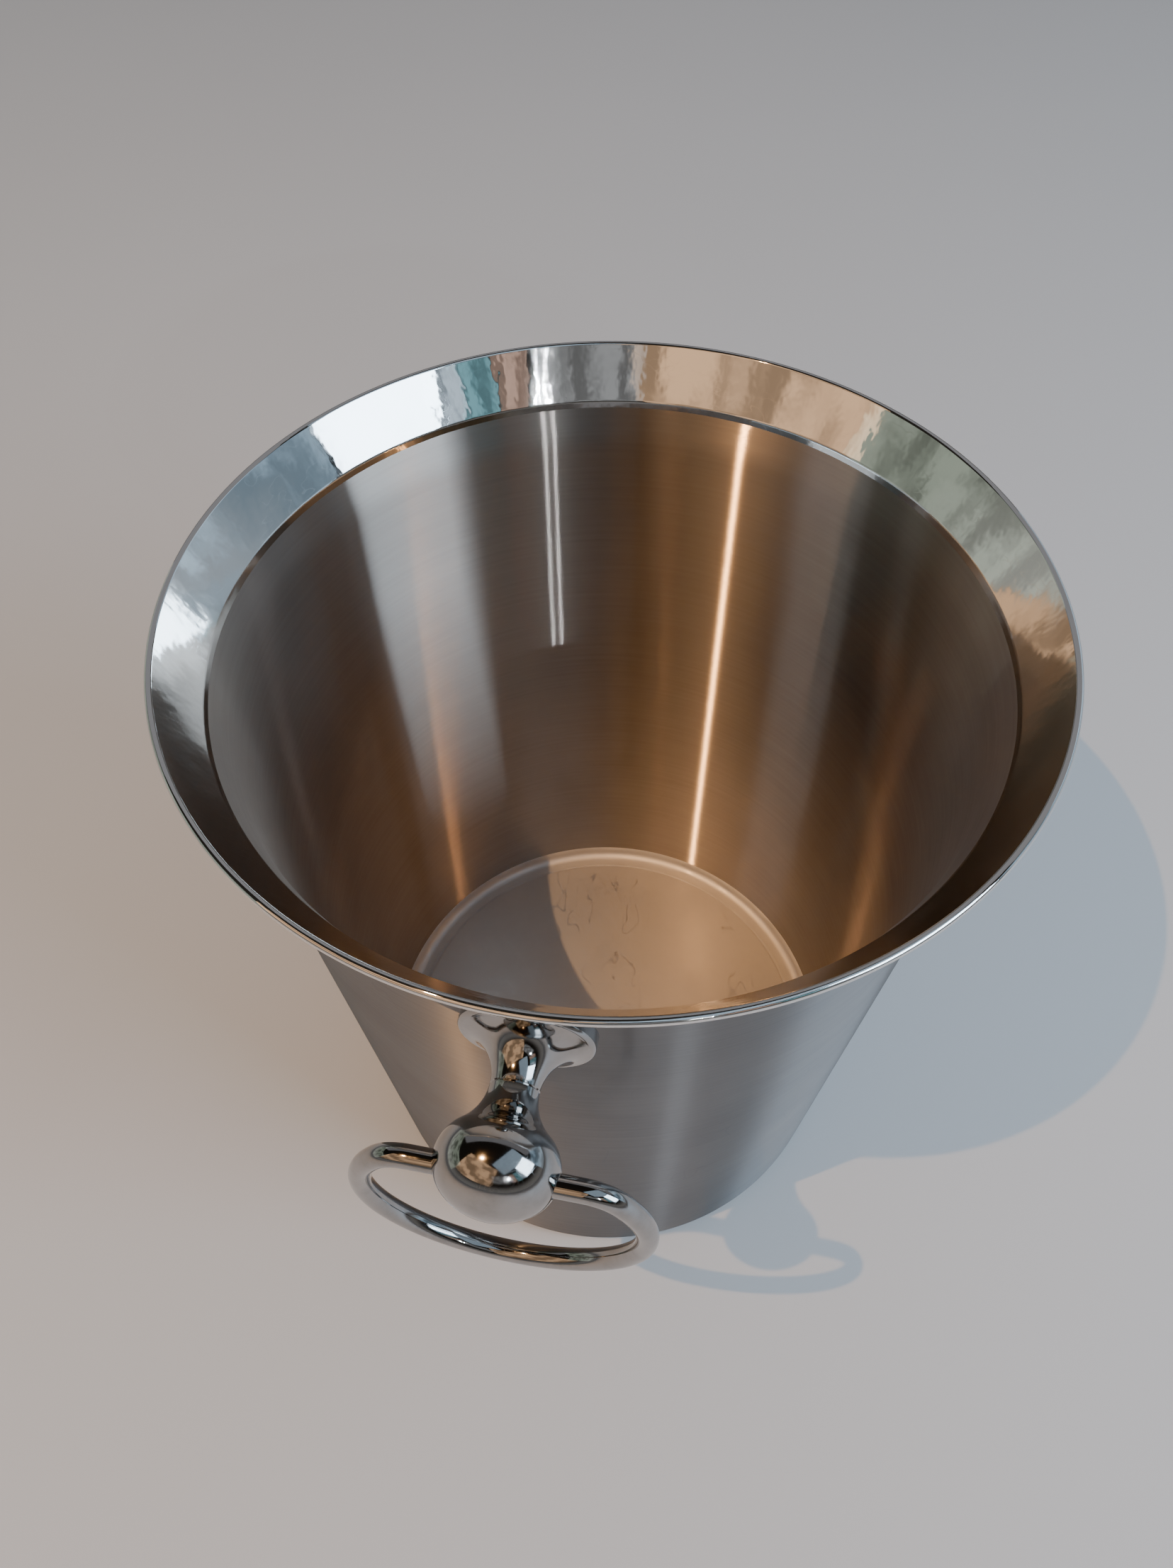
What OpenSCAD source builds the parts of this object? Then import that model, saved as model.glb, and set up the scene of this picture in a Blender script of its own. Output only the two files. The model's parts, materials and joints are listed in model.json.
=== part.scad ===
// Champagne bucket: a drawn and flared steel bucket with two knob and ring
// handles. Each handle is a welded stud, an escutcheon, a knob screwed onto the
// stud and a D-shaped ring that swings in the knob's cross hole.
// Millimetres, +Z up. The origin is the centre of the base, on the table. The
// handles lie on the Y axis, the front one towards -Y.

/* [Bucket] */
// Outer diameter of the rim
rim_d = 210; // [200:1:220]
// Height from the table to the top of the rim
bucket_h = 222; // [205:1:240]
// Outer diameter of the wall's cone at the table
base_d = 157.8; // [154:0.1:162]
// Slope of the wall from vertical, in degrees
wall_taper = 4.06; // [3.6:0.02:4.5]
// Thickness of the steel sheet
sheet = 1; // [0.8:0.1:1.2]

/* [Lip] */
// Slope of the flared lip from vertical, in degrees
lip_flare = 30.7; // [28:0.1:34]
// Inner radius of the bend between the wall and the lip
lip_bend_r = 24.7; // [18:0.1:28]
// Radius of the hem that is folded round the edge of the lip
hem_r = 1; // [1:0.05:1.3]

/* [Base] */
// Inner radius of the corner between the wall and the base
corner_r = 4; // [3:0.5:6]
// Height of the floor's underside above the table
floor_rise = 1.3; // [0.8:0.1:2]
// Outer radius of the raised floor
floor_r = 70.6; // [66:0.1:71]

/* [Handle] */
// Height of the handle's stem above the table, at the wall
handle_z = 190; // [180:0.5:192]
// Distance from the wall to the axis that the ring swings about
pivot_reach = 29.5; // [28:0.1:32]
// Distance from the wall to the seam between the escutcheon and the knob
seam_reach = 12.6; // [11:0.1:14]
// Radius of the neck at that seam
neck_r = 5.1; // [4.6:0.1:5.6]

/* [Escutcheon] */
// Radius of the escutcheon's foot
escutcheon_r = 14.5; // [13:0.1:15]
// Distance from the wall to the rounded edge of the foot's face
escutcheon_t = 2.8; // [2.4:0.1:3.2]
// Radius of the foot's rounded edge
escutcheon_edge_r = 1.2; // [0.8:0.1:1.6]

/* [Knob] */
// Radius of the knob where it is widest
knob_r = 12.6; // [12:0.1:13]
// Distance that the widest place lies behind the ring's axis
knob_offset = 1.4; // [1:0.1:2]
// Radius of the rounded shoulder there
knob_shoulder_r = 9; // [8.5:0.1:9.2]
// Distance from the ring's axis to the end of the knob
knob_end = 8.8; // [8.6:0.1:9.4]

/* [Ring] */
// Diameter of the ring's rod
rod_d = 4.8; // [4.4:0.1:5.2]
// Half of the ring's width, to the middle of the rod
ring_half_w = 30.25; // [28:0.25:32]
// Radius of the two corners, to the middle of the rod
ring_corner_r = 9; // [7:0.5:10]
// Radial clearance of the rod in the knob's cross hole
ring_clearance = 0.1; // [0.05:0.01:0.1]

/* [Stud] */
// Radius of the stud
stud_r = 2.5; // [2:0.1:2.8]
// Radius of the collar that is welded to the wall
stud_collar_r = 3.4; // [3:0.1:3.8]
// Thickness of the collar
stud_collar_t = 1; // [0.8:0.1:1.4]
// Distance from the wall to the end of the stud
stud_reach = 23.5; // [21:0.1:24]

/* [Hidden] */

$fn = 96;
shell_fn = 180;
steel = [0.74, 0.73, 0.71];
polished = [0.84, 0.83, 0.81];

// Clearances round the stud, and how far the knob's blind hole runs past it
stud_clearance = 0.05;
escutcheon_clearance = 0.2;
hole_margin = 1;
// Small chamfer on both sides of the seam, which shows as a fine groove
seam_chamfer = 0.2;
// How far the blanks for the escutcheon and the stud run into the wall before
// the bucket's outer surface is cut away from them
blank_depth = 3;

wall_slope = tan(wall_taper);
hem_centre = [rim_d / 2 - hem_r, bucket_h - hem_r];
floor_top = floor_rise + sheet;

// Outer radius of the wall's cone at height z
function wall_outer_r(z) = base_d / 2 + z * wall_slope;

// Unit vectors in the profile plane, in which x is the radius and y the height
function along(slope) = [sin(slope), cos(slope)];
function outward(slope) = [cos(slope), -sin(slope)];

// Points on an arc from angle a0 to angle a1 in n steps
function arc(centre, r, a0, a1, n) =
    [for (i = [0:n]) centre + r * [cos(a0 + (a1 - a0) * i / n), sin(a0 + (a1 - a0) * i / n)]];

// Where the inner lines of the wall and the lip would meet
lip_start = hem_centre - hem_r * outward(lip_flare);
wall_inner_0 = base_d / 2 - sheet / cos(wall_taper);
lip_run = (lip_start[0] - wall_inner_0 - lip_start[1] * wall_slope)
    / (sin(lip_flare) - cos(lip_flare) * wall_slope);
lip_corner = lip_start - lip_run * along(lip_flare);
bend_centre = lip_corner
    + lip_bend_r / cos((lip_flare - wall_taper) / 2) * outward((lip_flare + wall_taper) / 2);

// Centre of the corner between the wall and the base
corner_z = sheet + corner_r;
corner_centre = [wall_outer_r(corner_z) - corner_z / cos(wall_taper), corner_z];

// The sheet's surface at distance d outside the inner surface, from the middle
// of the floor out to the lip. A 45 degree step joins the floor and the foot.
function sheet_line(d) = concat(
    [
        [0, floor_top - d],
        [floor_r - d * tan(22.5), floor_top - d],
        [floor_r + floor_rise - d * tan(22.5), sheet - d]
    ],
    arc(corner_centre, corner_r + d, -90, -wall_taper, 8),
    arc(bend_centre, lip_bend_r - d, 180 - wall_taper, 180 - lip_flare, 10)
);

// The hem runs round from the inside of the lip to its underside
hem_end = -90 - lip_flare + asin((sheet - hem_r) / hem_r);
function hem_line() = arc(hem_centre, hem_r, 180 - lip_flare, hem_end, 24);

// A list of points without its first and last
function inner(list) = [for (i = [1:len(list) - 2]) list[i]];

function rest(list) = [for (i = [1:len(list) - 1]) list[i]];

function reversed(list) = [for (i = [len(list) - 1:-1:0]) list[i]];

module bucket_shell() {
    color(steel)
        rotate_extrude($fn = shell_fn)
            polygon(concat(sheet_line(0), hem_line(), reversed(sheet_line(sheet))));
}

// Everything inside the bucket's outer surface, used to shape what sits on it
module bucket_blank() {
    rotate_extrude($fn = shell_fn)
        polygon(concat(reversed(sheet_line(sheet)), [[0, hem_centre[1]], hem_centre]));
}

// Puts a handle's piece on the wall: its own +Z runs out from the wall, square
// to it, and its own X is the ring's axis. side is -1 in front and 1 behind.
module at_wall(side) {
    rotate([0, 0, side > 0 ? 180 : 0])
        translate([0, -wall_outer_r(handle_z), handle_z])
            rotate([90 + wall_taper, 0, 0])
                children();
}

module stud(side) {
    color(steel)
        difference() {
            at_wall(side) {
                translate([0, 0, -blank_depth])
                    cylinder(r = stud_collar_r, h = blank_depth + stud_collar_t);
                cylinder(r = stud_r, h = stud_reach);
            }
            bucket_blank();
        }
}

// Radius of the arc from the escutcheon's neck to the edge of its face
face_r = escutcheon_r - escutcheon_edge_r;
face_run = seam_reach - escutcheon_t;
face_rise = face_r - neck_r;
flare_r = (face_run * face_run + face_rise * face_rise) / (2 * face_rise);
face_angle = 180 + acos((flare_r - face_rise) / flare_r);

// Half outlines, in which x is the radius and y the distance from the wall
function escutcheon_outline() = concat(
    [[0, -blank_depth], [escutcheon_r, -blank_depth]],
    arc([face_r, escutcheon_t - escutcheon_edge_r], escutcheon_edge_r, 0, 90, 8),
    inner(arc([neck_r + flare_r, seam_reach], flare_r, face_angle, 180, 16)),
    [[neck_r, seam_reach - seam_chamfer], [neck_r - seam_chamfer, seam_reach], [0, seam_reach]]
);

module escutcheon(side) {
    color(polished)
        difference() {
            at_wall(side)
                difference() {
                    rotate_extrude()
                        polygon(escutcheon_outline());
                    translate([0, 0, -blank_depth - 1])
                        cylinder(r = stud_r + escutcheon_clearance, h = seam_reach + blank_depth + 2);
                    translate([0, 0, -blank_depth - 1])
                        cylinder(
                            r = stud_collar_r + escutcheon_clearance,
                            h = blank_depth + 1 + stud_collar_t + escutcheon_clearance
                        );
                }
            bucket_blank();
        }
}

// The knob swells from its neck along a throat arc into the shoulder arc, and
// a flatter dome closes its end. Each arc is tangent to the next.
shoulder_centre = [knob_r - knob_shoulder_r, pivot_reach - knob_offset];
throat_step = neck_r - shoulder_centre[0];
throat_run = shoulder_centre[1] - seam_reach;
throat_r = (throat_step * throat_step + throat_run * throat_run - knob_shoulder_r * knob_shoulder_r)
    / (2 * (knob_shoulder_r - throat_step));
throat_centre = [neck_r + throat_r, seam_reach];
throat_end = atan2(throat_run, shoulder_centre[0] - throat_centre[0]);
dome_run = knob_end + knob_offset;
dome_r = (shoulder_centre[0] * shoulder_centre[0] + dome_run * dome_run - knob_shoulder_r * knob_shoulder_r)
    / (2 * (dome_run - knob_shoulder_r));
dome_centre = [0, pivot_reach + knob_end - dome_r];
dome_start = atan2(shoulder_centre[1] - dome_centre[1], shoulder_centre[0]);

function knob_outline() = concat(
    [[0, seam_reach], [neck_r - seam_chamfer, seam_reach], [neck_r, seam_reach + seam_chamfer]],
    inner(arc(throat_centre, throat_r, 180, throat_end, 12)),
    arc(shoulder_centre, knob_shoulder_r, throat_end - 180, dome_start, 24),
    rest(arc(dome_centre, dome_r, dome_start, 90, 14))
);

module knob(side) {
    color(polished)
        at_wall(side)
            difference() {
                rotate_extrude()
                    polygon(knob_outline());
                translate([0, 0, seam_reach - 1])
                    cylinder(r = stud_r + stud_clearance, h = stud_reach + hole_margin - seam_reach + 1);
                translate([0, 0, pivot_reach])
                    rotate([0, 90, 0])
                        cylinder(r = rod_d / 2 + ring_clearance, h = 2 * knob_r + 2, center = true);
            }
}

// The big arc's centre lies below the bar, and a corner's arc touches both the
// bar and the big arc. The line through a corner's centre and the big arc's
// centre has a slope of 3 in 4, so the arcs meet exactly on it.
corner_run = ring_half_w - ring_corner_r;
corner_x = 0.8 * corner_run;
arc_drop = ring_corner_r + 0.6 * corner_run;
corner_line = [4, 3];

// A whole circle of round rod, upright in the plane of the ring
module rod_circle(r) {
    rotate([90, 0, 0])
        rotate_extrude()
            translate([r, 0])
                circle(d = rod_d);
}

// A sector that cuts a piece out of a circle of rod, seen from the front
module sector(points) {
    rotate([90, 0, 0])
        linear_extrude(rod_d + 2, center = true)
            polygon(points);
}

// The ring hanging from its bar, which lies along X through the origin
module hanging_ring() {
    rotate([0, 90, 0])
        cylinder(d = rod_d, h = 2 * corner_x, center = true);
    for (m = [0, 1])
        mirror([m, 0, 0])
            translate([corner_x, 0, -ring_corner_r])
                intersection() {
                    rod_circle(ring_corner_r);
                    sector([[0, 0], ring_corner_r * corner_line, [0, 5 * ring_corner_r]]);
                }
    translate([0, 0, -arc_drop])
        difference() {
            rod_circle(ring_half_w);
            sector([[0, 0], ring_half_w * corner_line, ring_half_w * [-corner_line[0], corner_line[1]]]);
        }
}

pivot_y = wall_outer_r(handle_z) + pivot_reach * cos(wall_taper);
pivot_z = handle_z - pivot_reach * sin(wall_taper);

module ring(side) {
    color(polished)
        translate([0, side * pivot_y, pivot_z])
            hanging_ring();
}

bucket_shell();
stud(-1);  // front_stud
escutcheon(-1);  // front_escutcheon
knob(-1);  // front_knob
ring(-1);  // front_ring
stud(1);  // back_stud
escutcheon(1);  // back_escutcheon
knob(1);  // back_knob
ring(1);  // back_ring
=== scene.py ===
"""Looks for the champagne bucket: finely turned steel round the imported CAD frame.

The shell, escutcheons, knobs and rings are rebuilt as smooth surfaces with exact normals, because
a mirror finish shows every facet. They keep the CAD model's shape, places and joints.
Lengths are metres, in the CAD frame: +Z up, front handle towards -Y.
"""

import json
import math

import bpy
import numpy as np
from mathutils import Matrix, Vector


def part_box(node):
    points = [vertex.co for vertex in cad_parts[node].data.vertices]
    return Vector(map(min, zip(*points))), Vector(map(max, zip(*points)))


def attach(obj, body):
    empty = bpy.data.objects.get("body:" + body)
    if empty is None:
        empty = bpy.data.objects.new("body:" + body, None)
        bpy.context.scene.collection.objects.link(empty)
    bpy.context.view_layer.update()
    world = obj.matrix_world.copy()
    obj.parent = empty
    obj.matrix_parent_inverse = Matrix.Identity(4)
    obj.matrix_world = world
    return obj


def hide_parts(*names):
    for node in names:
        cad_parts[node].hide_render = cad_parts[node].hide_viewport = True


MM = 0.001

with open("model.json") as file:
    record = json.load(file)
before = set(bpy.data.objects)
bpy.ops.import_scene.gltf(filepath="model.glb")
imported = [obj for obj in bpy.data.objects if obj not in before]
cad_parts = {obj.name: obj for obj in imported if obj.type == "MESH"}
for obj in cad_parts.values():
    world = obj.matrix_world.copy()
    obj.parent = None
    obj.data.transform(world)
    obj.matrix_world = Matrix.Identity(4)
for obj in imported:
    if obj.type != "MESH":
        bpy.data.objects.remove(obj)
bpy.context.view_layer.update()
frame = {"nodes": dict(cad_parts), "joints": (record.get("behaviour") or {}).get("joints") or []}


def joint_pivot(name):
    """The point that a joint turns about."""
    found = next(j for j in frame["joints"] if j["name"] == name)
    return Vector(found["pos_m"])


# ---------------------------------------------------------------- sizes

SHELL_LOW, SHELL_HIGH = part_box("bucket_shell")
RIM_R = min(SHELL_HIGH.x, SHELL_HIGH.y, -SHELL_LOW.x, -SHELL_LOW.y)
RIM_Z = SHELL_HIGH.z
PIVOT = joint_pivot("front_ring_swing")

SHEET = 1.0 * MM
WALL_TAPER = math.radians(4.06)
BASE_R = 78.9 * MM
LIP_FLARE = math.radians(30.7)
LIP_BEND_R = 30.0 * MM
CREASE_R = 4.0 * MM
CREASE_TILT = math.radians(17.4)
CREASE_POLISH = 1.3 * MM
HEM_R = 1.0 * MM
CORNER_R = 4.0 * MM
FLOOR_RISE = 1.3 * MM
FLOOR_R = 70.6 * MM
FLOOR_STEP_R = 0.9 * MM
FLOOR_STEP_ANGLE = math.radians(45)

HANDLE_Z = 190.0 * MM
PIVOT_REACH = 29.5 * MM
SEAM_REACH = 12.6 * MM
NECK_R = 5.1 * MM
SEAM_CHAMFER = 0.25 * MM
STUD_HOLE_R = 2.55 * MM
STUD_HOLE_END = 24.5 * MM

FOOT_R = 14.5 * MM
FOOT_T = 2.8 * MM
FOOT_EDGE_R = 1.2 * MM
FOOT_COLLAR_R = 3.6 * MM
FOOT_COLLAR_T = 1.2 * MM
FOOT_HOLE_R = 2.7 * MM

KNOB_R = 12.6 * MM
KNOB_OFFSET = 1.4 * MM
SHOULDER_R = 9.0 * MM
KNOB_END = 8.795 * MM
CROSS_HOLE_R = 2.5 * MM
HOLE_CHAMFER = 0.35 * MM
OVERCUT = 0.2

ROD_R = 2.4 * MM
RING_HALF_W = 30.25 * MM
RING_CORNER_R = 9.0 * MM

SHELL_SEGMENTS = 360
TURNED_SEGMENTS = 160
HOLE_SEGMENTS = 96
ROD_SEGMENTS = 56
ROD_SPACING = 1.0 * MM
LINE_SPACING = 8.0 * MM
FOOT_SPACING = 1.5 * MM
ARC_STEP = math.radians(3.5)
HEM_STEP = math.radians(10)
FOOT_EDGE_STEP = math.radians(9)

WALL_STEPS = 6
BASE_CORNER = 3

SAME_POINT = 1e-9
MEETS = 1e-6
ON_SURFACE = 0.02 * MM
IN_HOLE = 0.01 * MM


# ---------------------------------------------------------------- profiles

class Profile:
    """Half an outline to be turned about an axis: points (radius, height), and for each span between
    two points the normals at its ends and the number of its material."""

    def __init__(self):
        self.points = []
        self.spans = []

    def add(self, points, normals, material):
        """Joins a run of points on; its first point is the last one of the run before."""
        if self.points:
            assert math.dist(self.points[-1], points[0]) < MEETS, "the runs of a profile don't meet"
        else:
            self.points.append(tuple(points[0]))
        for i in range(1, len(points)):
            self.points.append(tuple(points[i]))
            self.spans.append((normals[i - 1], normals[i], material))

    def line(self, start, end, material=0, spacing=LINE_SPACING):
        """A straight run, whose normal is on the left of the way it goes."""
        start, end = np.array(start, float), np.array(end, float)
        length = math.dist(start, end)
        count = max(1, math.ceil(length / spacing))
        way = (end - start) / length
        normal = (-way[1], way[0])
        points = [start + (end - start) * i / count for i in range(count + 1)]
        self.add(points, [normal] * (count + 1), material)

    def arc(self, centre, radius, a0, a1, material=0, step=ARC_STEP):
        """An arc from angle a0 to angle a1 in radians, with its normal on the left of the way it goes."""
        count = max(2, math.ceil(abs(a1 - a0) / step))
        side = -1 if a1 > a0 else 1
        angles = [a0 + (a1 - a0) * i / count for i in range(count + 1)]
        points = [(centre[0] + radius * math.cos(a), centre[1] + radius * math.sin(a)) for a in angles]
        self.add(points, [(side * math.cos(a), side * math.sin(a)) for a in angles], material)


def rounded(corners, radii):
    """The straight and round runs of a line through corners, each rounded to its own radius: a list of
    ("line", start, end) and ("arc", centre, radius, a0, a1)."""
    corners = [np.array(c, float) for c in corners]
    runs, start = [], corners[0]
    for before, here, after, radius in zip(corners, corners[1:], corners[2:], radii):
        u = (here - before) / np.linalg.norm(here - before)
        v = (after - here) / np.linalg.norm(after - here)
        turn = math.atan2(u[0] * v[1] - u[1] * v[0], float(u @ v))
        reach = radius * math.tan(abs(turn) / 2)
        side = math.copysign(1, turn)
        first = here - u * reach
        centre = first + radius * side * np.array((-u[1], u[0]))
        a0 = math.atan2(first[1] - centre[1], first[0] - centre[0])
        runs.append(("line", start, first))
        runs.append(("arc", centre, radius, a0, a0 + turn))
        start = here + v * reach
    runs.append(("line", start, corners[-1]))
    return runs


def meet(p, u, q, v):
    """Where the line through p along u meets the line through q along v."""
    t = ((q[0] - p[0]) * v[1] - (q[1] - p[1]) * v[0]) / (u[0] * v[1] - u[1] * v[0])
    return p[0] + t * u[0], p[1] + t * u[1]


def sheet_corners(depth):
    """The corners of the sheet's outline at a depth outside its inner surface, from the middle of the
    floor to where the hem begins inside or ends outside."""
    wall_way = (math.sin(WALL_TAPER), math.cos(WALL_TAPER))
    lip_way = (math.sin(LIP_FLARE), math.cos(LIP_FLARE))
    left = SHEET - depth
    wall = (BASE_R - left / math.cos(WALL_TAPER), 0)
    hem_angle = HEM_END if depth else HEM_START
    hem = (HEM_CENTRE[0] + HEM_R * math.cos(hem_angle), HEM_CENTRE[1] + HEM_R * math.sin(hem_angle))
    half_step = depth * math.tan(FLOOR_STEP_ANGLE / 2)
    crease_way = (math.sin(CREASE_TILT), math.cos(CREASE_TILT))
    crease = (CREASE_AT[0] + depth * math.cos(CREASE_TILT), CREASE_AT[1] - depth * math.sin(CREASE_TILT))
    return [
        (0, FLOOR_RISE + left),
        (FLOOR_R - half_step, FLOOR_RISE + left),
        (FLOOR_R + FLOOR_RISE - half_step, left),
        meet((0, left), (1, 0), wall, wall_way),
        meet(wall, wall_way, crease, crease_way),
        meet(crease, crease_way, hem, lip_way),
        hem,
    ]


HEM_CENTRE = (RIM_R - HEM_R, RIM_Z - HEM_R)
HEM_START = math.pi - LIP_FLARE
HEM_END = -math.pi / 2 - LIP_FLARE + math.asin((SHEET - HEM_R) / HEM_R)
LIP_LENGTH = 15.2 * MM
CREASE_AT = (
    HEM_CENTRE[0] + HEM_R * math.cos(HEM_START) - LIP_LENGTH * math.sin(LIP_FLARE),
    HEM_CENTRE[1] + HEM_R * math.sin(HEM_START) - LIP_LENGTH * math.cos(LIP_FLARE),
)
FLARE_RUN = 8
SATIN_IN, POLISHED, SATIN_OUT, FLOOR = 0, 1, 2, 3
INNER_FINISHES = [FLOOR] * 6 + [SATIN_IN] * 3 + [POLISHED] * 3
OUTER_FINISHES = [SATIN_OUT] * 9 + [POLISHED] * 2


def shell_profile():
    """The bucket's outline: along the inside, round the hem, and back along the outside. The polish
    starts on the flare, the straight run between the lip's bend and its crease."""
    profile = Profile()
    inner = rounded(sheet_corners(0), [FLOOR_STEP_R, FLOOR_STEP_R, CORNER_R, LIP_BEND_R, CREASE_R])
    kind, start, end = inner[FLARE_RUN]
    polish_from = end + (start - end) * (CREASE_POLISH / math.dist(start, end))
    inner[FLARE_RUN:FLARE_RUN + 1] = [(kind, start, polish_from), (kind, polish_from, end)]
    for run, finish in zip(inner, INNER_FINISHES):
        add_run(profile, run, finish)
    profile.arc(HEM_CENTRE, HEM_R, HEM_START, HEM_END, POLISHED, step=HEM_STEP)
    outer_radii = [FLOOR_STEP_R, FLOOR_STEP_R, CORNER_R + SHEET, LIP_BEND_R - SHEET, CREASE_R - SHEET]
    outer = rounded(sheet_corners(SHEET), outer_radii)
    for run, finish in reversed(list(zip(outer, OUTER_FINISHES))):
        add_run(profile, reverse_run(run), finish)
    return profile


def add_run(profile, run, finish):
    """Adds one of rounded's runs to a profile."""
    if run[0] == "line":
        profile.line(run[1], run[2], finish)
    else:
        profile.arc(*run[1:], finish)


def reverse_run(run):
    """The same run the other way round."""
    if run[0] == "line":
        return "line", run[2], run[1]
    kind, centre, radius, a0, a1 = run
    return kind, centre, radius, a1, a0


# ---------------------------------------------------------------- meshes

def new_piece(name, points, faces, loop_normals, materials, face_materials=None):
    """A smooth mesh object with an exact normal at each corner of each face."""
    mesh = bpy.data.meshes.new(name)
    mesh.from_pydata([tuple(p) for p in points], [], faces)
    for material in materials:
        mesh.materials.append(material)
    mesh.polygons.foreach_set("use_smooth", [True] * len(mesh.polygons))
    if face_materials:
        mesh.polygons.foreach_set("material_index", face_materials)
    mesh.normals_split_custom_set([tuple(n) for n in loop_normals])
    mesh.validate(clean_customdata=False)
    piece = bpy.data.objects.new(name, mesh)
    bpy.context.scene.collection.objects.link(piece)
    return piece


def turn(profile, segments, placed=None, adjust=None):
    """Turns a profile about its axis: points, faces, corner normals and face materials. placed is the
    matrix that puts it in the frame, and adjust moves single points before that."""
    placed = placed or Matrix.Identity(4)
    turned = placed.to_3x3()
    angles = [2 * math.pi * i / segments for i in range(segments)]
    points, rings = [], []
    closed = math.dist(profile.points[0], profile.points[-1]) < SAME_POINT
    for radius, height in profile.points[:-1] if closed else profile.points:
        if radius < SAME_POINT:
            rings.append([len(points)] * segments)
            points.append(Vector((0, 0, height)))
        else:
            rings.append(list(range(len(points), len(points) + segments)))
            points += [Vector((radius * math.cos(a), radius * math.sin(a), height)) for a in angles]
    if adjust:
        points = [adjust(p) for p in points]
    faces, normals, finishes = [], [], []
    for row, (n0, n1, finish) in enumerate(profile.spans):
        low, high = rings[row], rings[(row + 1) % len(rings)]
        for i in range(segments):
            j = (i + 1) % segments
            corners = [(low[i], n0, i), (high[i], n1, i), (high[j], n1, j), (low[j], n0, j)]
            kept = []
            for corner in corners:
                if corner[0] not in [k[0] for k in kept]:
                    kept.append(corner)
            faces.append([k[0] for k in kept])
            for _, (out, up), k in kept:
                normal = Vector((out * math.cos(angles[k]), out * math.sin(angles[k]), up))
                normals.append(turned @ normal)
            finishes.append(finish)
    return [placed @ p for p in points], faces, normals, finishes


def bucket_shell(materials):
    """The whole sheet, with its materials in the order of SATIN_IN, POLISHED, SATIN_OUT, FLOOR."""
    points, faces, normals, finishes = turn(shell_profile(), SHELL_SEGMENTS)
    return new_piece("bucket_turned", points, faces, normals, materials, finishes)


def wall_outer_r(z):
    """Radius of the bucket's outer surface at a height."""
    return float(np.interp(z, OUTER_Z, OUTER_R))


def outer_outline():
    """Heights and radii up the outside of the wall and lip, for fitting the escutcheons to it."""
    profile = Profile()
    corners = sheet_corners(SHEET)[BASE_CORNER:]
    for run in rounded(corners, [LIP_BEND_R - SHEET, CREASE_R - SHEET]):
        add_run(profile, run, SATIN_OUT)
    return [p[1] for p in profile.points], [p[0] for p in profile.points]


OUTER_Z, OUTER_R = outer_outline()


def at_wall(side):
    """Matrix of a handle's own frame: Z out of the wall, square to it, and X along the ring's bar."""
    turned = Matrix.Rotation(0 if side < 0 else math.pi, 4, "Z")
    moved = Matrix.Translation((0, -wall_outer_r(HANDLE_Z), HANDLE_Z))
    return turned @ moved @ Matrix.Rotation(math.pi / 2 + WALL_TAPER, 4, "X")


def onto_wall(placed):
    """A function that moves a point of a handle's own frame along its Z on to the bucket's surface."""
    inverse = placed.inverted()

    def move(point):
        p = placed @ Vector((point.x, point.y, 0))
        out = (placed.to_3x3() @ Vector((0, 0, 1))).normalized()
        for _ in range(WALL_STEPS):
            p -= out * (math.hypot(p.x, p.y) - wall_outer_r(p.z))
        return inverse @ p

    return move


def escutcheon_profile():
    """From the seam down the trumpet face, round the foot's edge, under it, and up the stud's hole."""
    run, rise = SEAM_REACH - FOOT_T, FOOT_R - FOOT_EDGE_R - NECK_R
    flare_r = (run * run + rise * rise) / (2 * rise)
    flare_centre = (NECK_R + flare_r, SEAM_REACH)
    edge_x = FOOT_R - FOOT_EDGE_R
    edge_z = SEAM_REACH - math.sqrt((flare_r + FOOT_EDGE_R) ** 2 - (flare_centre[0] - edge_x) ** 2)
    start = math.pi + math.asin(SEAM_CHAMFER / flare_r)
    touch = math.atan2(flare_centre[1] - edge_z, flare_centre[0] - edge_x)
    neck = (flare_centre[0] + flare_r * math.cos(start), SEAM_REACH - SEAM_CHAMFER)
    profile = Profile()
    profile.line((FOOT_HOLE_R, SEAM_REACH), (neck[0] - SEAM_CHAMFER, SEAM_REACH))
    profile.line((neck[0] - SEAM_CHAMFER, SEAM_REACH), neck)
    profile.arc(flare_centre, flare_r, start, math.pi + touch)
    profile.arc((edge_x, edge_z), FOOT_EDGE_R, touch, 0, step=FOOT_EDGE_STEP)
    profile.line((FOOT_R, edge_z), (FOOT_R, 0))
    profile.line((FOOT_R, 0), (FOOT_COLLAR_R, 0), spacing=FOOT_SPACING)
    profile.line((FOOT_COLLAR_R, 0), (FOOT_COLLAR_R, FOOT_COLLAR_T))
    profile.line((FOOT_COLLAR_R, FOOT_COLLAR_T), (FOOT_HOLE_R, FOOT_COLLAR_T))
    profile.line((FOOT_HOLE_R, FOOT_COLLAR_T), (FOOT_HOLE_R, SEAM_REACH))
    return profile


def escutcheon(name, side, material):
    """A trumpet-shaped foot whose back follows the wall. side is -1 in front and 1 at the back."""
    placed = at_wall(side)
    to_wall = onto_wall(placed)

    def fit(point):
        return to_wall(point) if abs(point.z) < SAME_POINT else point

    points, faces, normals, _ = turn(escutcheon_profile(), TURNED_SEGMENTS, placed, fit)
    return new_piece(name, points, faces, normals, [material])


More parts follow.
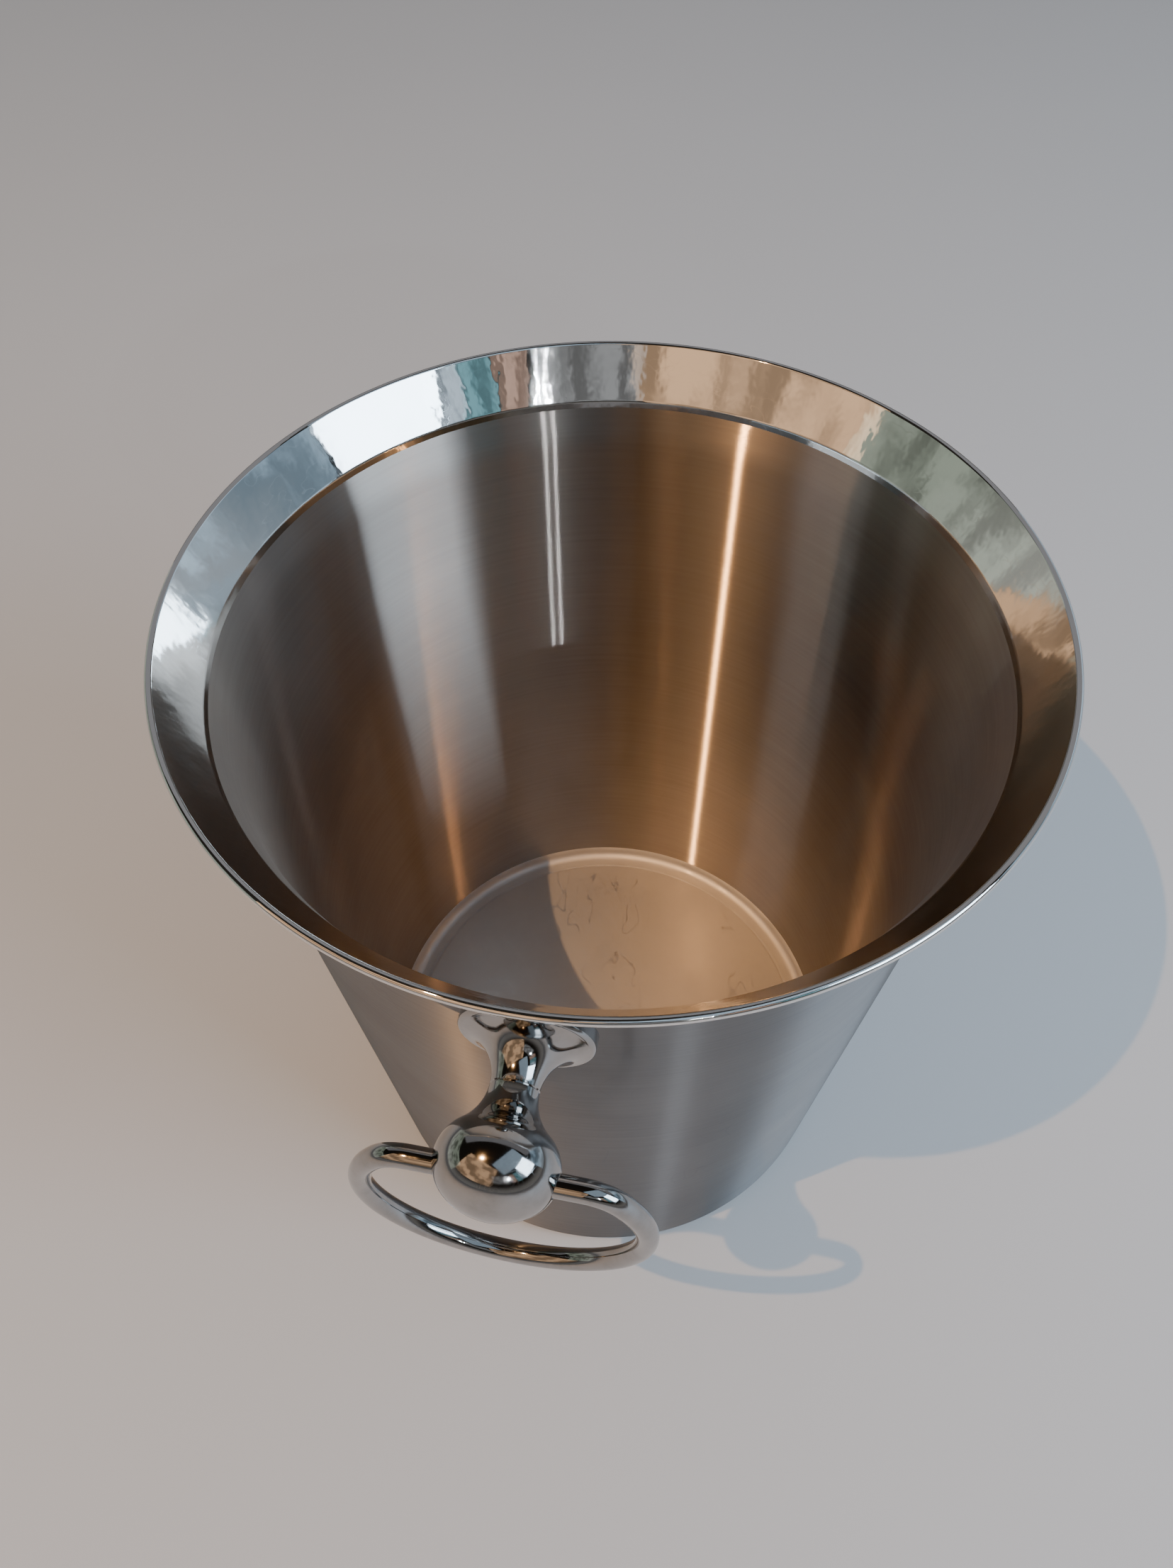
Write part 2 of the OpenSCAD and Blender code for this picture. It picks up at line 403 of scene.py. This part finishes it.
SHOULDER_CENTRE = (KNOB_R - SHOULDER_R, PIVOT_REACH - KNOB_OFFSET)
THROAT_STEP, THROAT_RUN = NECK_R - SHOULDER_CENTRE[0], SHOULDER_CENTRE[1] - SEAM_REACH
THROAT_R = (THROAT_STEP ** 2 + THROAT_RUN ** 2 - SHOULDER_R ** 2) / (2 * (SHOULDER_R - THROAT_STEP))
THROAT_CENTRE = (NECK_R + THROAT_R, SEAM_REACH)
THROAT_END = math.atan2(THROAT_RUN, SHOULDER_CENTRE[0] - THROAT_CENTRE[0])
DOME_RUN = KNOB_END + KNOB_OFFSET
DOME_R = (SHOULDER_CENTRE[0] ** 2 + DOME_RUN ** 2 - SHOULDER_R ** 2) / (2 * (DOME_RUN - SHOULDER_R))
DOME_CENTRE = (0, PIVOT_REACH + KNOB_END - DOME_R)
DOME_START = math.atan2(SHOULDER_CENTRE[1] - DOME_CENTRE[1], SHOULDER_CENTRE[0])


def knob_profile():
    """From the end's dome round the shoulder and along the throat to the seam, and up the blind hole."""
    start = math.pi - math.asin(SEAM_CHAMFER / THROAT_R)
    neck = (THROAT_CENTRE[0] + THROAT_R * math.cos(start), SEAM_REACH + SEAM_CHAMFER)
    profile = Profile()
    profile.arc(DOME_CENTRE, DOME_R, math.pi / 2, DOME_START)
    profile.arc(SHOULDER_CENTRE, SHOULDER_R, DOME_START, THROAT_END - math.pi)
    profile.arc(THROAT_CENTRE, THROAT_R, THROAT_END, start)
    profile.line(neck, (neck[0] - SEAM_CHAMFER, SEAM_REACH))
    profile.line((neck[0] - SEAM_CHAMFER, SEAM_REACH), (STUD_HOLE_R, SEAM_REACH))
    profile.line((STUD_HOLE_R, SEAM_REACH), (STUD_HOLE_R, STUD_HOLE_END))
    profile.line((STUD_HOLE_R, STUD_HOLE_END), (0, STUD_HOLE_END))
    return profile


def knob_side(radius, angle):
    """How far along X the knob's surface lies at a radius and angle round the ring's axis."""
    y, z = radius * math.cos(angle), PIVOT_REACH + radius * math.sin(angle)
    surface_r = SHOULDER_CENTRE[0] + math.sqrt(SHOULDER_R ** 2 - (z - SHOULDER_CENTRE[1]) ** 2)
    return math.sqrt(surface_r ** 2 - y * y)


def cross_hole_cutter():
    """A closed solid with the shape of the ring's hole and its two chamfered mouths."""
    count = HOLE_SEGMENTS
    angles = [2 * math.pi * i / count for i in range(count)]
    wide = CROSS_HOLE_R + (1 + OVERCUT) * HOLE_CHAMFER
    far = KNOB_R + 2 * MM

    def circle(radius, place):
        return [(place(a), radius * math.cos(a), PIVOT_REACH + radius * math.sin(a)) for a in angles]

    def mouth(a):
        return knob_side(CROSS_HOLE_R, a) - HOLE_CHAMFER

    def outside(a):
        return knob_side(CROSS_HOLE_R, a) + OVERCUT * HOLE_CHAMFER

    circles = [
        circle(wide, lambda a: -far),
        circle(wide, lambda a: -outside(a)),
        circle(CROSS_HOLE_R, lambda a: -mouth(a)),
        circle(CROSS_HOLE_R, mouth),
        circle(wide, outside),
        circle(wide, lambda a: far),
    ]
    points = [p for one in circles for p in one]
    faces = []
    for row in range(len(circles) - 1):
        low, high = row * count, (row + 1) * count
        for i in range(count):
            j = (i + 1) % count
            faces.append((low + i, low + j, high + j, high + i))
    faces.append(tuple(reversed(range(count))))
    faces.append(tuple(range((len(circles) - 1) * count, len(circles) * count)))
    mesh = bpy.data.meshes.new("cross_hole")
    mesh.from_pydata(points, [], faces)
    cutter = bpy.data.objects.new("cross_hole", mesh)
    bpy.context.scene.collection.objects.link(cutter)
    return cutter


def knob_normal(point, face_centre, face_normal):
    """The exact normal of the knob's surface at a corner of a face, in the handle's own frame."""
    from_axis = Vector((0, face_centre.y, face_centre.z - PIVOT_REACH))
    if from_axis.length < CROSS_HOLE_R + IN_HOLE and abs(face_centre.x) < KNOB_R - HOLE_CHAMFER:
        return -Vector((0, point.y, point.z - PIVOT_REACH)).normalized()
    radius = math.hypot(face_centre.x, face_centre.y)
    for centre, size, low, high, side in KNOB_ARCS:
        near = math.dist((radius, face_centre.z), centre)
        if low < face_centre.z < high and abs(near - size) < ON_SURFACE:
            out = Vector((point.x, point.y, 0)).normalized()
            from_centre = point - out * centre[0] - Vector((0, 0, centre[1]))
            return side * from_centre.normalized()
    return face_normal


SHOULDER_LOW = SHOULDER_CENTRE[1] + SHOULDER_R * math.sin(THROAT_END - math.pi)
SHOULDER_HIGH = SHOULDER_CENTRE[1] + SHOULDER_R * math.sin(DOME_START)
# Each arc: centre, radius, lowest and highest reach, and 1 if it bulges outwards or -1 if inwards.
KNOB_ARCS = (
    (THROAT_CENTRE, THROAT_R, SEAM_REACH + SEAM_CHAMFER, SHOULDER_LOW, -1),
    (SHOULDER_CENTRE, SHOULDER_R, SHOULDER_LOW, SHOULDER_HIGH, 1),
    (DOME_CENTRE, DOME_R, SHOULDER_HIGH, PIVOT_REACH + KNOB_END, 1),
)


def knob(name, side, material):
    """A turned knob with the ring's hole cut across it and an exact normal at each corner."""
    points, faces, normals, _ = turn(knob_profile(), TURNED_SEGMENTS)
    blank = new_piece(name + "_blank", points, faces, normals, [])
    cutter = cross_hole_cutter()
    cut = blank.modifiers.new("cross_hole", "BOOLEAN")
    cut.operation = "DIFFERENCE"
    cut.solver = "EXACT"
    cut.object = cutter
    graph = bpy.context.evaluated_depsgraph_get()
    mesh = bpy.data.meshes.new_from_object(blank.evaluated_get(graph), depsgraph=graph)
    placed = at_wall(side)
    turned = placed.to_3x3()
    corners = [tuple(placed @ v.co) for v in mesh.vertices]
    outlines = [tuple(p.vertices) for p in mesh.polygons]
    exact = []
    for p in mesh.polygons:
        for v in p.vertices:
            exact.append(turned @ knob_normal(mesh.vertices[v].co, p.center, p.normal))
    for scrap in (blank, cutter):
        bpy.data.objects.remove(scrap)
    return new_piece(name, corners, outlines, exact, [material])


def ring_line():
    """The middle of the ring's rod as it hangs: (x, z, outward x, outward z) round the D, from its
    pivot. The middles of its corners and of its big arc make 3-4-5 triangles."""
    run = RING_HALF_W - RING_CORNER_R
    corner_x, drop = 0.8 * run, RING_CORNER_R + 0.6 * run
    slope = math.atan2(3, 4)
    line = []

    def straight(x0, x1):
        count = math.ceil(abs(x1 - x0) / ROD_SPACING)
        line.extend((x0 + (x1 - x0) * i / count, 0, 0, 1) for i in range(count))

    def bend(x, z, radius, a0, a1):
        count = math.ceil(radius * abs(a1 - a0) / ROD_SPACING)
        for i in range(count):
            a = a0 + (a1 - a0) * i / count
            line.append((x + radius * math.cos(a), z + radius * math.sin(a), math.cos(a), math.sin(a)))

    straight(-corner_x, corner_x)
    bend(corner_x, -RING_CORNER_R, RING_CORNER_R, math.pi / 2, slope)
    bend(0, -drop, RING_HALF_W, slope, -math.pi - slope)
    bend(-corner_x, -RING_CORNER_R, RING_CORNER_R, math.pi - slope, math.pi / 2)
    return line


def ring(name, side, material):
    """A closed D of round rod, hanging from its pivot."""
    count = ROD_SEGMENTS
    line = ring_line()
    pivot = Vector((0, side * abs(PIVOT.y), PIVOT.z))
    points, ways = [], []
    for x, z, nx, nz in line:
        for i in range(count):
            a = 2 * math.pi * i / count
            way = Vector((nx * math.cos(a), math.sin(a), nz * math.cos(a)))
            ways.append(way)
            points.append(pivot + Vector((x, 0, z)) + way * ROD_R)
    faces = []
    for row in range(len(line)):
        after = (row + 1) % len(line)
        for i in range(count):
            j = (i + 1) % count
            faces.append((row * count + i, after * count + i, after * count + j, row * count + j))
    normals = [ways[v] for f in faces for v in f]
    return new_piece(name, points, faces, normals, [material])


# ---------------------------------------------------------------- materials

MIX_FACTOR, MIX_A, MIX_B, MIX_RESULT = 0, 6, 7, 2
GAP_SCALE = (47, 61, 53)
QUARTER_TURN = 0.25


class Graph:
    """The nodes of a material, a light or the world, made and joined in short calls."""

    def __init__(self, owner):
        owner.use_nodes = True
        self.tree = owner.node_tree

    def put(self, socket, value):
        """Joins a socket to another one, or sets it to a value."""
        if isinstance(value, bpy.types.NodeSocket):
            self.tree.links.new(value, socket)
        else:
            socket.default_value = value

    def node(self, kind, inputs, **settings):
        made = self.tree.nodes.new(kind)
        for key, value in settings.items():
            setattr(made, key, value)
        for key, value in inputs.items():
            self.put(made.inputs[key], value)
        return made

    def math(self, operation, *values):
        return self.node("ShaderNodeMath", dict(enumerate(values)), operation=operation).outputs[0]

    def times(self, value, amount):
        return self.math("MULTIPLY", value, amount)

    def total(self, first, *others):
        for value in others:
            first = self.math("ADD", first, value)
        return first

    def scaled(self, value, amount):
        """(value - 0.5) * amount"""
        return self.times(self.math("SUBTRACT", value, 0.5), amount)

    def noise(self, vector, scale=1.0, detail=2.0, roughness=0.5):
        inputs = {"Vector": vector, "Scale": scale, "Detail": detail, "Roughness": roughness}
        return self.node("ShaderNodeTexNoise", inputs).outputs[0]

    def step(self, value, low, high, from_value=0.0, to_value=1.0):
        """Runs smoothly from from_value to to_value as value goes from low to high."""
        inputs = {
            "Value": value,
            "From Min": low,
            "From Max": high,
            "To Min": from_value,
            "To Max": to_value,
        }
        return self.node("ShaderNodeMapRange", inputs, interpolation_type="SMOOTHSTEP").outputs[0]

    def mix(self, factor, a, b):
        made = self.node("ShaderNodeMix", {}, data_type="RGBA")
        self.put(made.inputs[MIX_FACTOR], factor)
        self.put(made.inputs[MIX_A], a)
        self.put(made.inputs[MIX_B], b)
        return made.outputs[MIX_RESULT]


class Finish(Graph):
    """A material and what its pattern is made of."""

    def __init__(self, name):
        self.material = bpy.data.materials.new(name)
        super().__init__(self.material)
        self.surface = self.tree.nodes["Principled BSDF"]

    def place(self):
        """The point in the frame, in metres."""
        return self.node("ShaderNodeTexCoord", {}).outputs["Object"]

    def stretched(self, vector, scale):
        """The vector times a scale of its own for each axis."""
        made = self.node("ShaderNodeVectorMath", {0: vector, 1: scale}, operation="MULTIPLY")
        return made.outputs[0]

    def turned_place(self):
        """Coordinates that follow the lathe: the direction from the bucket's axis, and the way along its
        outline (radius plus height, which grows all the way from the floor's middle to the rim)."""
        x, y, z = self.node("ShaderNodeSeparateXYZ", {0: self.place()}).outputs
        radius = self.math("SQRT", self.total(self.times(x, x), self.times(y, y)))
        safe = self.math("MAXIMUM", radius, 0.1 * MM)
        return self.math("DIVIDE", x, safe), self.math("DIVIDE", y, safe), self.math("ADD", radius, z)

    def lines(self, turned, length, pitch, detail=2.0):
        """Noise drawn out along the lathe's direction: length is how fast it changes round the bucket and
        pitch is the distance between lines."""
        around_x, around_y, along = turned
        vector = self.node("ShaderNodeCombineXYZ", {
            0: self.times(around_x, length),
            1: self.times(around_y, length),
            2: self.times(along, 1 / pitch),
        }).outputs[0]
        return self.noise(vector, 1.0, detail)

    def hairlines(self, stretch, width, share):
        """Fine curved scratches: the contour of a drawn-out noise, broken up by a second one."""
        place = self.stretched(self.place(), stretch)
        contour = self.math("ABSOLUTE", self.math("SUBTRACT", self.noise(place, 1.0, 1.0), 0.5))
        line = self.step(contour, 0.0, width, 1.0, 0.0)
        gaps = self.noise(self.stretched(self.place(), GAP_SCALE), 1.0, 2.0)
        broken = self.step(gaps, 1 - share, 1.02 - share)
        return self.times(line, broken)

    def bump(self, height):
        """A normal from a height in metres."""
        made = self.node("ShaderNodeBump", {"Strength": 1.0, "Distance": 1.0, "Height": height})
        return made.outputs["Normal"]

    def round_axis(self):
        """The tangent that runs round the bucket's axis."""
        return self.node("ShaderNodeTangent", {}, direction_type="RADIAL", axis="Z").outputs[0]

    def brushed(self, share, colour, normal, across, along):
        """Adds the light thrown back by the brushing itself: a lobe that is narrow round the bucket and
        wide up and down it. across and along are the lobe's two widths."""
        inputs = {
            "Color": colour,
            "Roughness": (across * along) ** 0.25,
            "Anisotropy": 1 - math.sqrt(across / along),
            "Normal": normal,
            "Tangent": self.round_axis(),
        }
        lobe = self.node("ShaderNodeBsdfAnisotropic", inputs, distribution="GGX")
        mixed = self.node("ShaderNodeMixShader", {0: share, 1: self.surface.outputs[0], 2: lobe.outputs[0]})
        self.put(self.tree.nodes["Material Output"].inputs["Surface"], mixed.outputs[0])

    def metal(self, colour, roughness, normal, anisotropy=0.0):
        """Sets the metal's sockets. anisotropy stretches highlights square to the lathe's lines."""
        inputs = self.surface.inputs
        self.put(inputs["Base Color"], colour)
        self.put(inputs["Roughness"], roughness)
        self.put(inputs["Normal"], normal)
        inputs["Metallic"].default_value = 1.0
        if anisotropy:
            inputs["Anisotropic"].default_value = anisotropy
            inputs["Anisotropic Rotation"].default_value = QUARTER_TURN
            self.put(inputs["Tangent"], self.round_axis())
        return self.material


def satin_steel(name, colour, dull, roughness, share, across, along):
    """Steel brushed round the bucket. share, across and along are the brushed lobe's part of the
    shine and its two widths."""
    g = Finish(name)
    turned = g.turned_place()
    fine = g.lines(turned, length=5.0, pitch=0.30 * MM, detail=1.0)
    coarse = g.lines(turned, length=2.2, pitch=1.3 * MM, detail=3.0)
    smudge = g.noise(g.place(), scale=24.0, detail=3.0, roughness=0.55)
    scratch = g.hairlines(stretch=(90, 90, 34), width=0.012, share=0.42)
    tone = g.total(g.scaled(coarse, 0.9), g.scaled(smudge, 1.4))
    shade = g.mix(g.total(0.5, tone), colour, dull)
    rough = g.total(roughness, g.scaled(coarse, 0.06), g.scaled(smudge, 0.16), g.times(scratch, 0.04))
    height = g.total(g.times(fine, 0.012 * MM), g.times(coarse, 0.03 * MM))
    normal = g.bump(height)
    g.brushed(share, shade, normal, across, along)
    return g.metal(shade, rough, normal, 1.0)


def floor_steel():
    """The floor inside: spun, and dulled by ice and bottles. Its steel is painted far paler than the
    walls', painted light for the lamp light that falls on the floor.
    """
    g = Finish("floor_satin_painted_light")
    turned = g.turned_place()
    fine = g.lines(turned, length=6.0, pitch=0.3 * MM)
    smudge = g.noise(g.place(), scale=38.0, detail=4.0, roughness=0.6)
    scratch = g.hairlines(stretch=(120, 60, 90), width=0.014, share=0.5)
    # Painted light: near-white steel, paler than the same sheet's walls.
    shade = g.mix(g.total(0.4, g.scaled(smudge, 1.2)), (0.95, 0.95, 0.95, 1), (0.84, 0.84, 0.84, 1))
    rough = g.total(0.56, g.scaled(smudge, 0.20), g.times(scratch, -0.12))
    height = g.total(g.times(fine, 0.004 * MM), g.times(smudge, 0.02 * MM))
    return g.metal(shade, rough, g.bump(height))


def lip_steel():
    """The polished lip and hem: a mirror with faint wheel marks round it and a slight waviness."""
    g = Finish("lip_polish")
    turned = g.turned_place()
    marks = g.lines(turned, length=9.0, pitch=0.18 * MM, detail=3.0)
    wave = g.noise(g.place(), scale=34.0, detail=1.0)
    dents = g.noise(g.stretched(g.place(), (210, 210, 120)), detail=2.0)
    smudge = g.step(g.noise(g.place(), scale=42.0, detail=4.0, roughness=0.65), low=0.45, high=0.75)
    scratch = g.hairlines(stretch=(150, 130, 300), width=0.012, share=0.5)
    shade = g.mix(smudge, (0.80, 0.785, 0.765, 1), (0.76, 0.745, 0.725, 1))
    rough = g.total(0.045, g.times(smudge, 0.06), g.times(scratch, 0.06))
    height = g.total(g.times(marks, 0.0004 * MM), g.times(wave, 0.45 * MM), g.times(dents, 0.05 * MM))
    return g.metal(shade, rough, g.bump(height), 0.9)


def cast_polish_painted_dark():
    """The handles: mirror-polished castings with handling marks. Their steel is painted dark, a painted
    reflection of a dark table in place of the pale floor.
    """
    g = Finish("cast_polish_painted_dark")
    orange_peel = g.noise(g.place(), scale=260.0, detail=2.0)
    wave = g.noise(g.place(), scale=90.0, detail=1.0)
    smudge = g.step(g.noise(g.place(), scale=150.0, detail=4.0, roughness=0.65), low=0.42, high=0.78)
    scratch = g.hairlines(stretch=(400, 320, 360), width=0.016, share=0.5)
    # Painted shade: the polished steel is made about half as bright as the lip's, to darken what it
    # mirrors.
    shade = g.mix(smudge, (0.40, 0.39, 0.38, 1), (0.33, 0.32, 0.31, 1))
    rough = g.total(0.06, g.times(smudge, 0.09), g.times(scratch, 0.10))
    peel_height = g.times(orange_peel, 0.0025 * MM)
    height = g.total(peel_height, g.times(wave, 0.02 * MM), g.times(scratch, -0.001 * MM))
    return g.metal(shade, rough, g.bump(height))


def stud_steel():
    """The studs, which the handles hide: plain turned steel."""
    g = Finish("stud_turned")
    marks = g.noise(g.stretched(g.place(), (400, 3000, 400)), detail=2.0)
    shade = g.mix(marks, (0.60, 0.59, 0.57, 1), (0.48, 0.47, 0.45, 1))
    rough = g.total(0.32, g.scaled(marks, 0.15))
    return g.metal(shade, rough, g.bump(g.times(marks, 0.004 * MM)))


def table_paint():
    """The plain pale floor of the studio."""
    g = Finish("studio_floor")
    cloud = g.noise(g.place(), scale=3.0, detail=3.0)
    grain = g.noise(g.place(), scale=900.0, detail=2.0)
    shade = g.mix(cloud, (0.55, 0.575, 0.60, 1), (0.52, 0.545, 0.57, 1))
    g.put(g.surface.inputs["Base Color"], shade)
    g.put(g.surface.inputs["Roughness"], g.total(0.72, g.scaled(grain, 0.1)))
    g.put(g.surface.inputs["Normal"], g.bump(g.times(grain, 0.02 * MM)))
    return g.material


# ---------------------------------------------------------------- the bucket

# Painted reflection: the inner copy of the sheet's steel is tinted warm brown, standing in for the warm-lit
# room it mirrors; the outer copy below is the same steel.
INNER_SATIN_PAINTED_WARM = satin_steel(
    "inner_satin_painted_warm",
    colour=(0.56, 0.50, 0.45, 1),
    dull=(0.46, 0.405, 0.36, 1),
    roughness=0.36,
    share=0.68,
    across=0.003,
    along=0.6,
)
# Painted shade: the outer copy of the same steel is made about half as bright and neutral, so that the
# outside looks as if it mirrored a dark table instead of the pale floor.
OUTER_SATIN_PAINTED_DARK = satin_steel(
    "outer_satin_painted_dark",
    colour=(0.265, 0.265, 0.27, 1),
    dull=(0.22, 0.22, 0.225, 1),
    roughness=0.32,
    share=0.4,
    across=0.02,
    along=0.5,
)
LIP_POLISH = lip_steel()
FLOOR_SATIN_PAINTED_LIGHT = floor_steel()
CAST_POLISH_PAINTED_DARK = cast_polish_painted_dark()
STUD_TURNED = stud_steel()


def join_frame(piece, node, body):
    """Puts a piece in the place of a CAD node."""
    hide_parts(node)
    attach(piece, body)


def handle(place, side):
    """The pieces of one handle. Its stud keeps the CAD shape, and only gets a material."""
    foot = escutcheon(place + "_escutcheon_turned", side, CAST_POLISH_PAINTED_DARK)
    join_frame(foot, place + "_escutcheon", "bucket")
    grip = knob(place + "_knob_turned", side, CAST_POLISH_PAINTED_DARK)
    join_frame(grip, place + "_knob", "bucket")
    swing = ring(place + "_ring_bent", side, CAST_POLISH_PAINTED_DARK)
    join_frame(swing, place + "_ring", place + "_handle")
    for held in frame["nodes"][place + "_stud"].material_slots:
        held.material = STUD_TURNED


sheet = bucket_shell([INNER_SATIN_PAINTED_WARM, LIP_POLISH, OUTER_SATIN_PAINTED_DARK, FLOOR_SATIN_PAINTED_LIGHT])
join_frame(sheet, "bucket_shell", "bucket")
handle("front", -1)
handle("back", 1)


# ---------------------------------------------------------------- the studio

FLOOR_HALF = 6.0


def floor_plane():
    """The floor that the bucket stands on."""
    corners = [(x * FLOOR_HALF, y * FLOOR_HALF, 0) for x, y in ((-1, -1), (1, -1), (1, 1), (-1, 1))]
    mesh = bpy.data.meshes.new("studio_floor")
    mesh.from_pydata(corners, [], [(0, 1, 2, 3)])
    mesh.materials.append(table_paint())
    plane = bpy.data.objects.new("studio_floor", mesh)
    bpy.context.scene.collection.objects.link(plane)


AIM = Vector((0, 0, RIM_Z))


def towards(azimuth, elevation):
    """Unit vector from the bucket: azimuth 0 is towards -Y and 90 towards +X, in degrees."""
    a, e = math.radians(azimuth), math.radians(elevation)
    return Vector((math.sin(a) * math.cos(e), -math.cos(a) * math.cos(e), math.sin(e)))


def add_light(name, data, place):
    """A light that points at the rim's middle and that the camera doesn't see."""
    light = bpy.data.objects.new(name, data)
    light.location = place
    light.rotation_mode = "QUATERNION"
    light.rotation_quaternion = (AIM - place).to_track_quat("-Z", "Y")
    light.visible_camera = False
    bpy.context.scene.collection.objects.link(light)


def add_patches(data, count):
    """Makes a soft light uneven, as a lit wall with things in front of it is."""
    g = Graph(data)
    spot = g.node("ShaderNodeNewGeometry", {}).outputs["Parametric"]
    patches = g.noise(spot, scale=count, detail=3.0)
    strength = g.step(patches, 0.42, 0.56, 0.45, 1.3)
    g.put(g.tree.nodes["Emission"].inputs["Strength"], strength)


def softbox(name, azimuth, elevation, distance, degrees_wide, degrees_high, radiance, colour, patches=0):
    """A rectangular soft light that covers an angle as seen from the bucket's rim."""
    data = bpy.data.lights.new(name, "AREA")
    data.shape = "RECTANGLE"
    data.size = 2 * distance * math.tan(math.radians(degrees_wide / 2))
    data.size_y = 2 * distance * math.tan(math.radians(degrees_high / 2))
    data.energy = radiance * math.pi * data.size * data.size_y
    data.color = colour
    if patches:
        add_patches(data, patches)
    add_light(name, data, AIM + towards(azimuth, elevation) * distance)


def lamp(name, azimuth, elevation, distance, radius, power, colour):
    """A small round lamp."""
    data = bpy.data.lights.new(name, "POINT")
    data.shadow_soft_size = radius
    data.energy = power
    data.color = colour
    add_light(name, data, AIM + towards(azimuth, elevation) * distance)


WALLS_LOW, WALLS_HIGH = (0.20, 0.195, 0.19, 1), (0.025, 0.023, 0.021, 1)
SOFT_LIGHT, BACKDROP = (0.24, 0.24, 0.245, 1), (0.17, 0.17, 0.172, 1)


def studio_world():
    """Plain walls that are dim low down and dark above. The camera sees a pale backdrop, and matt things
    are lit by a soft pale one."""
    world = bpy.data.worlds.new("studio")
    bpy.context.scene.world = world
    g = Graph(world)
    way = g.node("ShaderNodeTexCoord", {}).outputs["Generated"]
    up = g.node("ShaderNodeSeparateXYZ", {0: way}).outputs[2]
    walls = g.mix(g.step(up, 0.02, 0.28), WALLS_LOW, WALLS_HIGH)
    ray = g.node("ShaderNodeLightPath", {}).outputs
    soft = g.mix(ray["Is Diffuse Ray"], walls, SOFT_LIGHT)
    seen = g.mix(ray["Is Camera Ray"], soft, BACKDROP)
    g.put(g.tree.nodes["Background"].inputs["Color"], seen)


WARM, TAN, PINK = (1.0, 0.54, 0.23), (1.0, 0.64, 0.38), (1.0, 0.68, 0.55)
COOL, BLUE, SKY, TEAL = (0.66, 0.83, 1.0), (0.45, 0.68, 0.90), (0.6, 0.8, 1.0), (0.30, 0.72, 0.85)
GREEN, GREY = (0.72, 0.85, 0.70), (0.9, 0.92, 1.0)
PALE, SPOT = (0.9, 0.95, 1.0), (0.85, 0.93, 1.0)

floor_plane()
studio_world()

# name, azimuth, elevation, distance, degrees wide, degrees high, radiance, colour
softbox("window", 75, 30, 1.2, 29, 26, 8.0, COOL)
softbox("window_side", 122, 12, 1.4, 60, 30, 0.55, BLUE, patches=3)
softbox("cool_high", 60, 58, 1.3, 56, 30, 0.55, SKY)
softbox("warm_wall", -30, 34, 1.4, 60, 46, 0.62, TAN, patches=3)
softbox("plain_wall", 16, 26, 1.5, 24, 16, 0.22, PALE, patches=4)
softbox("pink_wall", 38, 26, 1.5, 8, 16, 0.40, PINK, patches=3)
softbox("teal_wall", 48, 26, 1.5, 9, 18, 0.42, TEAL, patches=3)
softbox("pale_wall", 56.5, 26, 1.5, 7.5, 18, 0.60, COOL, patches=2)
softbox("green_wall", -92, 12, 1.4, 66, 26, 0.28, GREEN, patches=6)
softbox("back_wall", 180, 45, 1.4, 110, 50, 0.20, GREY)

# name, azimuth, elevation, distance, radius, power, colour
lamp("warm_lamp", -41, 60, 1.1, 0.004, 24, WARM)
lamp("spot_left", 30.4, 26.5, 1.4, 0.005, 2.8, SPOT)
lamp("spot_right", 27.6, 26.5, 1.4, 0.005, 2.8, SPOT)


# ---------------------------------------------------------------- the camera

CAMERA_AZIMUTH = 9.85
CAMERA_ELEVATION = 44.41
CAMERA_DISTANCE = 2.603 * RIM_R
CAMERA_YAW, CAMERA_PITCH, CAMERA_ROLL = 0.01944, -0.1512, -0.009795
IMAGE_HEIGHT = 2212
FOCAL_LENGTH = 1660
SENSOR = 36


def camera():
    """The camera, looking at the middle of the rim and then turned a little. Its focal length is in
    units of the image, whose height takes up the whole sensor."""
    centre = Vector((0, 0, RIM_Z - HEM_R))
    place = centre + towards(CAMERA_AZIMUTH, CAMERA_ELEVATION) * CAMERA_DISTANCE
    ahead = (centre - place).normalized()
    right = ahead.cross(Vector((0, 0, 1))).normalized()
    up = right.cross(ahead)
    yaw = Matrix.Rotation(CAMERA_YAW, 3, up)
    ahead, right = yaw @ ahead, yaw @ right
    pitch = Matrix.Rotation(CAMERA_PITCH, 3, right)
    ahead, up = pitch @ ahead, pitch @ up
    roll = Matrix.Rotation(CAMERA_ROLL, 3, ahead)
    right, up = roll @ right, roll @ up
    data = bpy.data.cameras.new("camera")
    data.sensor_width = SENSOR
    data.lens = SENSOR * FOCAL_LENGTH / IMAGE_HEIGHT
    data.clip_start = 0.01
    made = bpy.data.objects.new("camera", data)
    made.matrix_world = Matrix.Translation(place) @ Matrix((right, up, -ahead)).transposed().to_4x4()
    bpy.context.scene.collection.objects.link(made)
    bpy.context.scene.camera = made


camera()
bpy.context.scene.view_settings.view_transform = "AgX"
bpy.context.scene.view_settings.look = "AgX - Punchy"
bpy.context.scene.view_settings.exposure = 1.05
